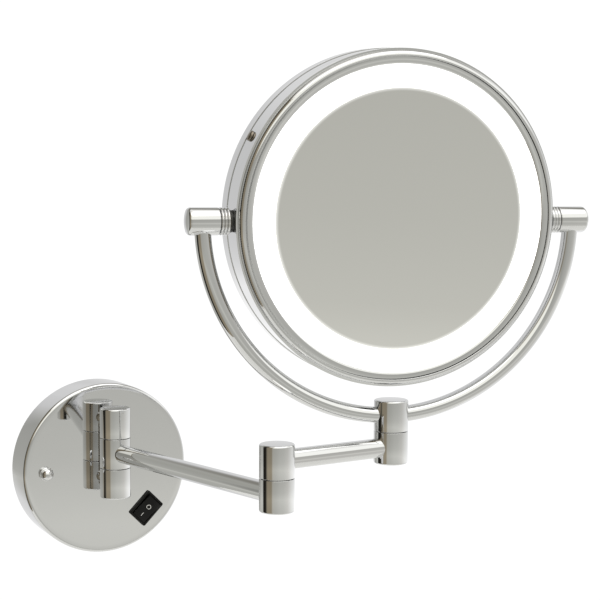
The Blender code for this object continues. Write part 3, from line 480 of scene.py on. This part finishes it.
# ---- yoke -----------------------------------------------------------------------
def yoke_arm(side, sign):
    """Quarter bend from the hub up into the pivot cap."""
    node = f"yoke_arm_{side}"
    radius = HUB.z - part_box(node)[0].z
    inset = math.asin(4.0 * MM / YOKE_RADIUS)   # its ends lie inside the barrel and the cap
    quarter = math.radians(90.0)
    bm = bmesh.new()
    bmesh.ops.create_circle(bm, cap_ends=True, segments=48, radius=radius)
    bmesh.ops.transform(bm, matrix=Matrix.Translation((0.0, 0.0, -YOKE_RADIUS))
                        @ Matrix.Rotation(quarter, 4, "Y"), verts=bm.verts)
    bmesh.ops.rotate(bm, verts=bm.verts, cent=(0, 0, 0), matrix=Matrix.Rotation(-inset, 3, "Y"))
    bmesh.ops.spin(bm, geom=bm.verts[:] + bm.edges[:] + bm.faces[:], cent=(0, 0, 0),
                   axis=(0, -1, 0), angle=quarter - 2.0 * inset, steps=72)
    bmesh.ops.remove_doubles(bm, verts=bm.verts, dist=SAME_POINT)
    bmesh.ops.recalc_face_normals(bm, faces=bm.faces)
    finish_piece(f"yoke_bend_{side}", bm, "chrome", "yoke", [node],
                 place=frame_at(TILT, TILT_AXIS * sign, UP))


def pivot_frame(sign):
    """Frame on the tilt axis with Z running outwards to one side."""
    return frame_at(TILT, UP, TILT_AXIS * sign)


def pivot_cap(side, sign):
    """Short barrel with a domed end."""
    node = f"pivot_cap_{side}"
    low, high = reach(node, TILT, TILT_AXIS * sign)
    radius = half_height(node)
    edge = 0.8 * MM
    dome = 3.6 * MM
    corner = 2.4 * MM
    outline = [(0.0, low), (radius - edge, low)]
    outline += arc((radius - edge, low + edge), edge, -90, 0, 6)
    outline += arc((radius - corner, high - dome), corner, 0, 62, 8, 1.1)
    crown_radius, crown_start = outline[-1]
    rings = 8
    for step in range(1, rings + 1):
        share = 1.0 - step / rings
        outline.append((crown_radius * share,
                        crown_start + (high - crown_start) * (1.0 - share ** 2)))
    finish_piece(f"domed_cap_{side}", turned(outline, FINE), "chrome", "yoke", [node],
                 place=pivot_frame(sign))


COLLAR_BORE = 4.0 * MM
WASHER_BORE = 3.8 * MM
WASHER_RADIUS = 7.2 * MM
WASHER_STACK = 1.2 * MM     # how much of the collar's length the washer takes up


def friction_washer(side, sign):
    """Dark washer between the ribbed collar and the drum."""
    edge = 0.3 * MM
    drum = head_radius("casing_drum") + 0.1 * MM
    top = reach(f"pivot_collar_{side}", TILT, TILT_AXIS * sign)[0] + WASHER_STACK
    outline = [(WASHER_BORE, drum), (WASHER_RADIUS - edge, drum), (WASHER_RADIUS, drum + edge),
               (WASHER_RADIUS, top - 0.2 * MM), (WASHER_RADIUS - edge, top), (WASHER_BORE, top)]
    finish_piece(f"friction_washer_{side}", turned(outline, SMALL, ring=True), "dark washer",
                 "yoke", place=pivot_frame(sign))


def pivot_collar(side, sign):
    """Three rounded ribs between the cap and the washer."""
    node = f"pivot_collar_{side}"
    low, high = reach(node, TILT, TILT_AXIS * sign)
    low += WASHER_STACK + 0.1 * MM
    radius = half_height(node)
    ribs = 3
    pitch = (high - low) / ribs
    rib = pitch / 2.0
    outline = [(COLLAR_BORE, low), (radius - rib, low)]
    for number in range(ribs):
        outline += arc((radius - rib, low + (number + 0.5) * pitch), rib, -84, 84, 14)
    outline += [(radius - rib, high), (COLLAR_BORE, high)]
    finish_piece(f"ribbed_collar_{side}", turned(outline, FINE, ring=True), "chrome", "yoke",
                 [node], place=pivot_frame(sign))


# ---- mirror head ----------------------------------------------------------------
GLASS_OPENING = 100.0 * MM
BEZEL_FLANGE = GLASS_OPENING + 3.6 * MM     # inner side of both bezels, behind the glass
GLASS_GAP = 0.25 * MM                       # between a bezel's lip and its glass
GROOVE = 104.7 * MM                         # radius of the groove between lip and bead
GROOVE_HALF = 0.42 * MM
DRUM_WALL = 1.8 * MM


def head_reach(node):
    """How far a node runs along the head's own axis, from back to front."""
    return reach(node, HEAD_MIDDLE, HEAD_FRONT)


def head_radius(node):
    """Radius of a round node of the head."""
    return reach(node, HEAD_MIDDLE, HEAD_TOP)[1]


def head_ring(name, outline, finish, node):
    """A ring about the head's axis in place of one CAD node."""
    finish_piece(name, turned(outline, ROUND, ring=True), finish, "mirror_head", [node],
                 place=HEAD)


def front_lip():
    """Rounded inner ring of the front bezel, round the glass, with the floor of the groove."""
    back, crest = head_reach("front_bezel")
    back += 1.0 * MM
    glass = head_reach("light_diffuser")[1] + GLASS_GAP
    wall = GROOVE - GROOVE_HALF
    groove_floor = crest - 3.4 * MM
    foot = GROOVE + GROOVE_HALF - 0.02 * MM     # just short of the bead
    reach_in = wall - GLASS_OPENING
    outline = arc((wall, glass), reach_in, 180, 90, 16, (crest - glass) / reach_in)
    outline += [(wall, groove_floor), (foot, groove_floor), (foot, back), (BEZEL_FLANGE, back),
                (BEZEL_FLANGE, glass)]
    head_ring("front_lip", outline, "chrome", "front_bezel")


HATCH_RIDGES = 450
HATCH_SECTORS = 15
RIDGE_STEPS = 6
HATCH_DEPTH = 0.06 * MM


def sector_ring(outline):
    """Closed ring with a few steps for each ridge, made one sector and then copied round."""
    bm = bmesh.new()
    verts = [bm.verts.new((radius, 0.0, height)) for radius, height in outline]
    edges = [bm.edges.new(pair) for pair in zip(verts, verts[1:] + verts[:1])]
    bmesh.ops.spin(bm, geom=verts + edges, cent=(0, 0, 0), axis=(0, 0, 1),
                   angle=math.tau / HATCH_SECTORS,
                   steps=HATCH_RIDGES * RIDGE_STEPS // HATCH_SECTORS)
    bmesh.ops.spin(bm, geom=bm.verts[:] + bm.edges[:] + bm.faces[:], cent=(0, 0, 0),
                   axis=(0, 0, 1), angle=math.tau * (HATCH_SECTORS - 1) / HATCH_SECTORS,
                   steps=HATCH_SECTORS - 1, use_duplicate=True)
    bmesh.ops.remove_doubles(bm, verts=bm.verts, dist=1e-6)
    bmesh.ops.recalc_face_normals(bm, faces=bm.faces)
    return bm


def cut_hatch(bm, low, inside, outer):
    """Sink fine slanted ridges into a ring's outer side, fading out towards the crest."""
    bm.normal_update()
    moves = []
    for vert in bm.verts:
        radius = vert.co.xy.length
        if vert.co.z < low or radius < inside:
            continue
        angle = math.atan2(vert.co.y, vert.co.x)
        slant = (vert.co.z - low) + (outer - radius)
        wave = 0.5 - 0.5 * math.cos(HATCH_RIDGES * (angle + slant / outer))
        fade = min(1.0, (radius - inside) / (outer - inside) * 1.6)
        moves.append((vert, vert.normal * HATCH_DEPTH * fade * wave))
    for vert, move in moves:
        vert.co -= move


def front_bead():
    """Outer ring of the front bezel, cut all round with fine slanted ridges."""
    crest = head_reach("front_bezel")[1]
    seam = head_reach("casing_drum")[1] + 0.5 * MM
    outer = head_radius("front_bezel")
    wall = GROOVE + GROOVE_HALF
    edge = 0.15 * MM
    run = outer - wall - 0.25 * MM
    base = seam + 0.6 * MM
    outline = [(wall, seam), (outer - edge, seam), (outer, seam + edge)]
    outline += arc((outer - run, base), run, 0, 90, 14, (crest - base) / run)
    outline += [(wall, crest - 0.2 * MM)]
    bm = sector_ring(outline)
    cut_hatch(bm, seam + 2.0 * edge, wall + 1.2 * MM, outer)
    finish_piece("front_bead", bm, "chrome", "mirror_head", place=HEAD, sharp=60.0)


def drum_band():
    """Middle drum of the casing."""
    low, high = head_reach("casing_drum")
    low -= 0.24 * MM                            # leaves a hairline at the rear bezel
    outer = head_radius("casing_drum")
    inner = outer - DRUM_WALL
    edge = 0.06 * MM
    outline = [(inner, low), (outer - edge, low), (outer, low + edge), (outer, high - edge),
               (outer - edge, high), (inner, high)]
    head_ring("drum_band", outline, "chrome", "casing_drum")


def rear_band():
    """Rear bezel: rounded corner, lip at the glass, and the sleeve that the screws bite into."""
    drum_back = head_reach("casing_drum")[0]
    back = head_reach("rear_bezel")[0]
    outer = head_radius("rear_bezel")
    glass = head_reach("rear_mirror")[0] - GLASS_GAP
    seam = drum_back - 0.3 * MM
    edge = 0.06 * MM
    corner = 2.2 * MM
    lip = 1.3 * MM
    sleeve = head_radius("casing_drum") - DRUM_WALL - 0.3 * MM
    sleeve_inside = sleeve - 1.2 * MM
    sleeve_top = drum_back + 4.0 * MM
    outline = [(GLASS_OPENING, glass)]
    outline += arc((GLASS_OPENING + lip, back + lip), lip, 180, 270, 8)
    outline += arc((outer - corner, back + corner), corner, 270, 360, 12)
    outline += [(outer, seam - edge), (outer - edge, seam), (sleeve, seam), (sleeve, sleeve_top),
                (sleeve_inside, sleeve_top), (sleeve_inside, seam), (BEZEL_FLANGE, seam),
                (BEZEL_FLANGE, glass)]
    head_ring("rear_band", outline, "chrome", "rear_bezel")


def glass_disc():
    """Front mirror with a fine ground edge."""
    back, front = head_reach("front_mirror")
    radius = head_radius("front_mirror")
    edge = 0.35 * MM
    rings = 8
    outline = [(0.0, back), (radius, back), (radius, front - edge), (radius - edge, front)]
    outline += [(radius * step / rings, front) for step in range(rings - 1, -1, -1)]
    finish_piece("mirror_disc", turned(outline, ROUND), "mirror", "mirror_head",
                 ["front_mirror"], place=HEAD)


def lit_ring():
    """Frosted ring round the front mirror."""
    back, front = head_reach("light_diffuser")
    inner = head_radius("front_mirror") + 0.05 * MM
    outer = head_radius("light_diffuser")
    edge = 0.2 * MM
    outline = [(inner, back), (outer, back), (outer, front), (inner + edge, front),
               (inner, front - edge)]
    head_ring("lit_ring", outline, "opal", "light_diffuser")


def magnifier():
    """Dished glass of the second side."""
    back, front = head_reach("rear_mirror")
    radius = head_radius("rear_mirror")
    dish = 2.0 * MM
    rings = 24
    outline = [(0.0, front), (radius, front - dish)]
    for step in range(rings + 1):
        share = 1.0 - step / rings
        outline.append((radius * share, back + dish * (1.0 - share ** 2)))
    finish_piece("magnifying_disc", turned(outline, ROUND), "rear mirror", "mirror_head",
                 ["rear_mirror"], place=HEAD)


def pivot_neck(side, sign):
    """Shaft from the head into its cap, with a flange behind the drum's wall."""
    node = f"pivot_shaft_{side}"
    low, high = reach(node, TILT, TILT_AXIS * sign)
    collar = reach(f"pivot_collar_{side}", TILT, TILT_AXIS * sign)[0] - 0.3 * MM
    shaft = 3.6 * MM
    body = 5.8 * MM                             # where it passes through the drum
    root = body - 0.2 * MM
    flange = half_height(node)
    flange_top = head_radius("casing_drum") - 3.2 * MM
    flange_foot = flange_top - 2.8 * MM
    edge = 0.3 * MM
    outline = [(0.0, low), (root, low), (root, flange_foot), (flange - edge, flange_foot),
               (flange, flange_foot + edge), (flange, flange_top - edge),
               (flange - edge, flange_top), (body, flange_top), (body, collar - edge),
               (body - edge, collar), (shaft, collar), (shaft, high), (0.0, high)]
    finish_piece(f"pivot_neck_{side}", turned(outline, SMALL), "chrome", "mirror_head", [node],
                 place=pivot_frame(sign))


def side_screw(number):
    """Plain pan-head screw set radially in the drum's side."""
    node = f"rear_bezel_screw_{number}"
    centre = middle(node) - HEAD_MIDDLE
    depth = centre.dot(HEAD_FRONT)
    outward = (centre - HEAD_FRONT * depth).normalized()
    origin = HEAD_MIDDLE + HEAD_FRONT * depth
    low, high = reach(node, origin, outward)
    back, front = reach(node, origin, HEAD_FRONT)
    radius = (front - back) / 2.0
    thread = 1.5 * MM
    seat = head_radius("casing_drum") + 0.35 * MM
    brim = seat + 0.5 * MM
    outline = [(0.0, low), (thread, low), (thread, seat), (radius, seat), (radius, brim)]
    for degrees in range(10, 90, 10):
        angle = math.radians(degrees)
        outline.append((radius * math.cos(angle) ** 0.8,
                        brim + (high - brim) * math.sin(angle)))
    outline += [(0.0, high)]
    finish_piece(f"pan_screw_{number}", turned(outline, 48), "screw steel", "mirror_head",
                 [node], place=frame_at(origin, HEAD_FRONT, outward))


# ---- rocker switch --------------------------------------------------------------
SWITCH_AXIS = joint_axis("switch_rock")
SWITCH = frame_at(joint_place("switch_rock"), ROOM.cross(SWITCH_AXIS) * -1.0, ROOM)
SWITCH_LENGTH = 22.0 * MM
SWITCH_WIDTH = 16.6 * MM
ROCKER_REST = math.radians(sum(JOINTS["switch_rock"]["range_deg"])) / 2.0
ROCKER = SWITCH @ Matrix.Rotation(-ROCKER_REST, 4, "Y")
ROCKER_DIP = 1.0 * MM       # how far the face is hollowed over the axle
ROCKER_HALF = 9.0 * MM
MARK_LIFT = 0.03 * MM       # half the thickness of a printed mark


def switch_frame():
    """Frame of the switch: a rounded rim round the rocker's well."""
    bm = bmesh.new()
    bmesh.ops.create_grid(bm, x_segments=1, y_segments=1, size=0.5)
    bmesh.ops.scale(bm, vec=(SWITCH_LENGTH, SWITCH_WIDTH, 1.0), verts=bm.verts)
    bmesh.ops.bevel(bm, geom=bm.verts[:], offset=1.2 * MM, segments=5, affect="VERTICES",
                    profile=0.5, material=-1)
    bm.faces.ensure_lookup_table()
    lifted = bmesh.ops.extrude_face_region(bm, geom=[bm.faces[0]])
    top = [item for item in lifted["geom"] if isinstance(item, bmesh.types.BMFace)][0]
    bmesh.ops.translate(bm, vec=(0, 0, 1.1 * MM), verts=top.verts)
    slope, rim, well = (0.5 * MM, 0.4 * MM), (1.1 * MM, 0.0), (0.1 * MM, -5.0 * MM)
    for inset, depth in (slope, rim, well):
        bmesh.ops.inset_region(bm, faces=[top], thickness=inset, depth=depth,
                               use_even_offset=True)
    bmesh.ops.recalc_face_normals(bm, faces=bm.faces)
    finish_piece("switch_rim", bm, "black_plastic", "wall_unit", ["switch_housing"],
                 place=SWITCH)


def rocker_face(x):
    """Height of the rocker's hollowed face at a place along it."""
    top = reach("switch_rocker", ROCKER.translation, ROCKER.col[2].xyz)[1]
    return top - ROCKER_DIP * (1.0 - (abs(x) / ROCKER_HALF) ** 1.5) - 0.05 * MM


def rocker():
    """Rocker with two slightly hollowed faces that meet over its axle."""
    half = ROCKER_HALF - 0.1 * MM
    half_width = 5.9 * MM
    skirt = -1.0 * MM
    keel = (half - 4.0 * MM, -3.6 * MM)
    steps = 24
    along = [half * (2.0 * step / steps - 1.0) for step in range(steps + 1)]
    outline = [(x, rocker_face(x)) for x in along]
    outline += [(half, skirt), keel, (-keel[0], keel[1]), (-half, skirt)]
    bm = bmesh.new()
    side = bm.faces.new([bm.verts.new((x, -half_width, z)) for x, z in outline])
    lifted = bmesh.ops.extrude_face_region(bm, geom=[side])
    moved = [item for item in lifted["geom"] if isinstance(item, bmesh.types.BMVert)]
    bmesh.ops.translate(bm, vec=(0.0, 2.0 * half_width, 0.0), verts=moved)
    bmesh.ops.recalc_face_normals(bm, faces=bm.faces)
    rim = [edge for edge in bm.edges
           if abs(edge.verts[0].co.y - edge.verts[1].co.y) < 1e-6
           and min(vert.co.z for vert in edge.verts) > 0.0]
    bmesh.ops.bevel(bm, geom=rim, offset=0.35 * MM, segments=3, affect="EDGES", profile=0.5,
                    material=-1)
    finish_piece("rocker_key", bm, "rocker_black", "rocker", ["switch_rocker"], place=ROCKER)


def print_mark(name, bm, x):
    """Lay a flat mark on the rocker's face at a place along it."""
    slope = math.atan2(rocker_face(x + MM) - rocker_face(x - MM), 2.0 * MM)
    place = (ROCKER @ Matrix.Translation((x, 0.0, rocker_face(x)))
             @ Matrix.Rotation(-slope, 4, "Y"))
    finish_piece(name, bm, "mark white", "rocker", place=place)


def off_mark():
    """Printed ring."""
    inner, outer = 1.35 * MM, 1.85 * MM
    outline = [(inner, -MARK_LIFT), (outer, -MARK_LIFT), (outer, MARK_LIFT), (inner, MARK_LIFT)]
    print_mark("off_mark", turned(outline, SMALL, ring=True), 2.0 * MM)


def on_mark():
    """Printed bar."""
    length, width = 2.9 * MM, 0.5 * MM
    bm = bmesh.new()
    bmesh.ops.create_cube(bm, size=1.0)
    bmesh.ops.scale(bm, vec=(length, width, 2.0 * MARK_LIFT), verts=bm.verts)
    corners = [edge for edge in bm.edges
               if abs(edge.verts[0].co.z - edge.verts[1].co.z) > MARK_LIFT]
    bmesh.ops.bevel(bm, geom=corners, offset=0.1 * MM, segments=3, affect="EDGES",
                    profile=0.5, material=-1)
    print_mark("on_mark", bm, -5.0 * MM)


# ---- the whole object -----------------------------------------------------------
def build_pieces():
    """Every fine piece, from the wall outwards."""
    wall_cover()
    barrels()
    for side in ("upper", "lower"):
        knuckle_stub(side)
    straight_tube("inner_arm_tube", WALL_AXIS, ELBOW_AXIS, "inner_arm")
    straight_tube("outer_arm_tube", ELBOW_AXIS, YOKE_AXIS, "outer_arm")
    for side, sign in (("left", -1.0), ("right", 1.0)):
        cap_nut(side)
        yoke_arm(side, sign)
        pivot_cap(side, sign)
        friction_washer(side, sign)
        pivot_collar(side, sign)
        pivot_neck(side, sign)
    front_lip()
    front_bead()
    drum_band()
    rear_band()
    glass_disc()
    lit_ring()
    magnifier()
    for number in (1, 2, 3):
        side_screw(number)
    switch_frame()
    rocker()
    off_mark()
    on_mark()


def finish_cad_nodes():
    """The pieces that stay as they are get the finish of their slot."""
    slots = {part["node"]: part["material_slot"] for part in frame["record"]["subparts"]}
    for name, node in NODES.items():
        node.data.materials.clear()
        node.data.materials.append(FINISHES[slots[name]])


# ---- room, light and camera -----------------------------------------------------
# What stands round the object: bearing in degrees from the room side, positive to the
# right, and the colour there; at eye level and below, then above it, then higher still.
LOW_BOARDS = [
    (-180, (0.82, 0.82, 0.82)),
    (-172, (0.80, 0.80, 0.80)),
    (-162, (0.50, 0.50, 0.47)),
    (-140, (0.56, 0.56, 0.52)),
    (-128, (0.54, 0.54, 0.50)),
    (-122, (0.010, 0.010, 0.008)),      # black board
    (-101, (0.025, 0.022, 0.018)),
    (-95, (0.22, 0.20, 0.15)),
    (-88, (0.32, 0.275, 0.20)),         # tan board
    (-62, (0.31, 0.27, 0.20)),
    (-54, (0.49, 0.48, 0.43)),
    (-35, (0.51, 0.51, 0.47)),
    (-10, (0.57, 0.57, 0.53)),
    (16, (0.60, 0.60, 0.56)),
    (45, (0.68, 0.67, 0.63)),
    (80, (0.90, 0.90, 0.87)),
    (130, (1.05, 1.05, 1.05)),
    (174, (0.84, 0.84, 0.84)),
]
HIGH_BOARDS = [
    (-180, (0.76, 0.76, 0.76)),
    (-172, (0.72, 0.72, 0.72)),
    (-163, (0.50, 0.50, 0.47)),
    (-128, (0.42, 0.42, 0.38)),
    (-122, (0.010, 0.010, 0.008)),
    (-104, (0.035, 0.03, 0.02)),
    (-96, (0.30, 0.25, 0.18)),
    (-62, (0.36, 0.31, 0.23)),
    (-50, (1.15, 1.14, 1.04)),          # bright window side
    (60, (1.25, 1.25, 1.2)),
    (130, (0.92, 0.92, 0.92)),
    (174, (0.78, 0.78, 0.78)),
]
TOP_BOARDS = [
    (-180, (0.26, 0.25, 0.22)),
    (-128, (0.24, 0.23, 0.20)),
    (-121, (0.02, 0.02, 0.016)),
    (-104, (0.03, 0.027, 0.02)),
    (-96, (0.26, 0.22, 0.16)),
    (-62, (0.34, 0.29, 0.21)),
    (-50, (1.15, 1.14, 1.04)),
    (55, (1.25, 1.25, 1.2)),
    (100, (0.36, 0.35, 0.32)),
    (180, (0.26, 0.25, 0.22)),
]
CEILING = (0.30, 0.27, 0.21)
BACKDROP = (1.05, 1.05, 1.05)
# rise of the look direction (its sine) and how bright the low boards are there
LEVELS = [(-1.0, 1.4), (-0.94, 1.35), (-0.79, 1.15), (-0.56, 0.92), (-0.42, 0.94), (-0.3, 1.08),
          (-0.235, 1.2), (-0.19, 1.0), (-0.13, 0.92), (-0.05, 0.87), (0.3, 0.80)]
# rises between which one kind of board gives way to the next
HIGH_START = (0.24, 0.36)
TOP_START = (0.52, 0.68)
CEILING_START = (0.975, 0.99)


def colour_ramp(tree, factor, stops):
    """Colour ramp with stops of (position, colour), in order."""
    ramp = add_node(tree, "ShaderNodeValToRGB")
    tree.links.new(factor, ramp.inputs["Fac"])
    first, last = ramp.color_ramp.elements[:]
    for element, (position, colour) in ((first, stops[0]), (last, stops[-1])):
        element.position = position
        element.color = (*colour, 1.0)
    for position, colour in stops[1:-1]:
        ramp.color_ramp.elements.new(position).color = (*colour, 1.0)
    return ramp.outputs["Color"]


def look_shares(tree):
    """Bearing and rise of the look direction from 0 to 1; a bearing of 0.5 is the room side."""
    place = add_node(tree, "ShaderNodeTexCoord")
    split = add_node(tree, "ShaderNodeSeparateXYZ")
    flip = add_node(tree, "ShaderNodeMath", {1: -1.0}, operation="MULTIPLY")
    bearing = add_node(tree, "ShaderNodeMath", operation="ARCTAN2")
    turn = add_node(tree, "ShaderNodeMapRange", {"From Min": -math.pi, "From Max": math.pi})
    rise = add_node(tree, "ShaderNodeMapRange", {"From Min": -1.0})
    for source, target in ((place.outputs["Generated"], split.inputs[0]),
                           (split.outputs["Y"], flip.inputs[0]),
                           (split.outputs["X"], bearing.inputs[0]),
                           (flip.outputs[0], bearing.inputs[1]),
                           (bearing.outputs[0], turn.inputs["Value"]),
                           (split.outputs["Z"], rise.inputs["Value"])):
        tree.links.new(source, target)
    return turn.outputs["Result"], rise.outputs["Result"]


def boards_ramp(tree, turn, boards):
    """Colour round the room at one kind of board."""
    return colour_ramp(tree, turn, [(0.5 + bearing / 360.0, colour) for bearing, colour in boards])


def step_between(tree, rise, span):
    """0 below one rise and 1 above the other."""
    step = add_node(tree, "ShaderNodeMapRange",
                    {"From Min": 0.5 + span[0] / 2.0, "From Max": 0.5 + span[1] / 2.0},
                    interpolation_type="SMOOTHSTEP")
    tree.links.new(rise, step.inputs["Value"])
    return step.outputs["Result"]


def blend(tree, factor, first, second, kind="MIX"):
    """Mix of two colours; each value is an output to link or a plain number or colour."""
    node = add_node(tree, "ShaderNodeMix", data_type="RGBA", blend_type=kind)
    for number, value in ((0, factor), (6, first), (7, second)):
        if isinstance(value, bpy.types.NodeSocket):
            tree.links.new(value, node.inputs[number])
        else:
            node.inputs[number].default_value = value
    return node.outputs[2]


def studio():
    """Soft room: bright to the right and behind, a black and a tan board at the left."""
    world = bpy.data.worlds.new("studio")
    bpy.context.scene.world = world
    world.use_nodes = True
    tree = world.node_tree
    turn, rise = look_shares(tree)
    levels = colour_ramp(tree, rise, [(0.5 + sine / 2.0, (bright,) * 3)
                                      for sine, bright in LEVELS])
    room = blend(tree, 1.0, boards_ramp(tree, turn, LOW_BOARDS), levels, "MULTIPLY")
    for start, boards in ((HIGH_START, HIGH_BOARDS), (TOP_START, TOP_BOARDS)):
        room = blend(tree, step_between(tree, rise, start), room, boards_ramp(tree, turn, boards))
    room = blend(tree, step_between(tree, rise, CEILING_START), room, (*CEILING, 1.0))
    seen = add_node(tree, "ShaderNodeLightPath").outputs["Is Camera Ray"]
    backdrop = blend(tree, seen, room, (*BACKDROP, 1.0))
    tree.links.new(backdrop, tree.nodes["Background"].inputs["Color"])
    bpy.context.scene.view_settings.view_transform = "Standard"


def soft_sun():
    """Broad soft light from overhead."""
    light = bpy.data.lights.new("overhead", "SUN")
    light.energy = 0.8
    light.angle = math.radians(70.0)
    lamp = bpy.data.objects.new("overhead", light)
    bpy.context.scene.collection.objects.link(lamp)
    lamp.rotation_euler = (math.radians(10.0), 0.0, 0.0)


FLOOR_HALF = 1.3
FLOOR_DROP = 1.2            # below the lowest metal, since the object hangs on a wall


def floor():
    """Plain pale floor of the room."""
    bm = bmesh.new()
    bmesh.ops.create_grid(bm, x_segments=16, y_segments=16, size=FLOOR_HALF)
    bmesh.ops.translate(bm, vec=(0.0, 0.0, CAD_BOX[0].z - FLOOR_DROP), verts=bm.verts)
    mesh = bpy.data.meshes.new("floor")
    bm.to_mesh(mesh)
    bm.free()
    mesh.materials.append(FINISHES["floor"])
    piece = bpy.data.objects.new("floor", mesh)
    bpy.context.scene.collection.objects.link(piece)


CAMERA_PLACE = Vector((-0.3879, -1.0577, 0.2232))
CAMERA_AIM = Vector((0.0805, -0.1787, 0.1340))
CAMERA_ROLL = math.radians(0.365)
CAMERA_LENS = 90.0
CAMERA_FILM = 36.0


def camera():
    """Camera in front, to the left and a little above."""
    data = bpy.data.cameras.new("camera")
    data.lens = CAMERA_LENS
    data.sensor_width = CAMERA_FILM
    data.clip_start = 0.01
    data.clip_end = 50.0
    eye = bpy.data.objects.new("camera", data)
    bpy.context.scene.collection.objects.link(eye)
    look = (CAMERA_AIM - CAMERA_PLACE).to_track_quat("-Z", "Y").to_matrix().to_4x4()
    roll = Matrix.Rotation(CAMERA_ROLL, 4, "Z")
    eye.matrix_world = Matrix.Translation(CAMERA_PLACE) @ look @ roll
    bpy.context.scene.camera = eye


FINISHES = make_finishes()
build_pieces()
finish_cad_nodes()
studio()
soft_sun()
floor()
camera()
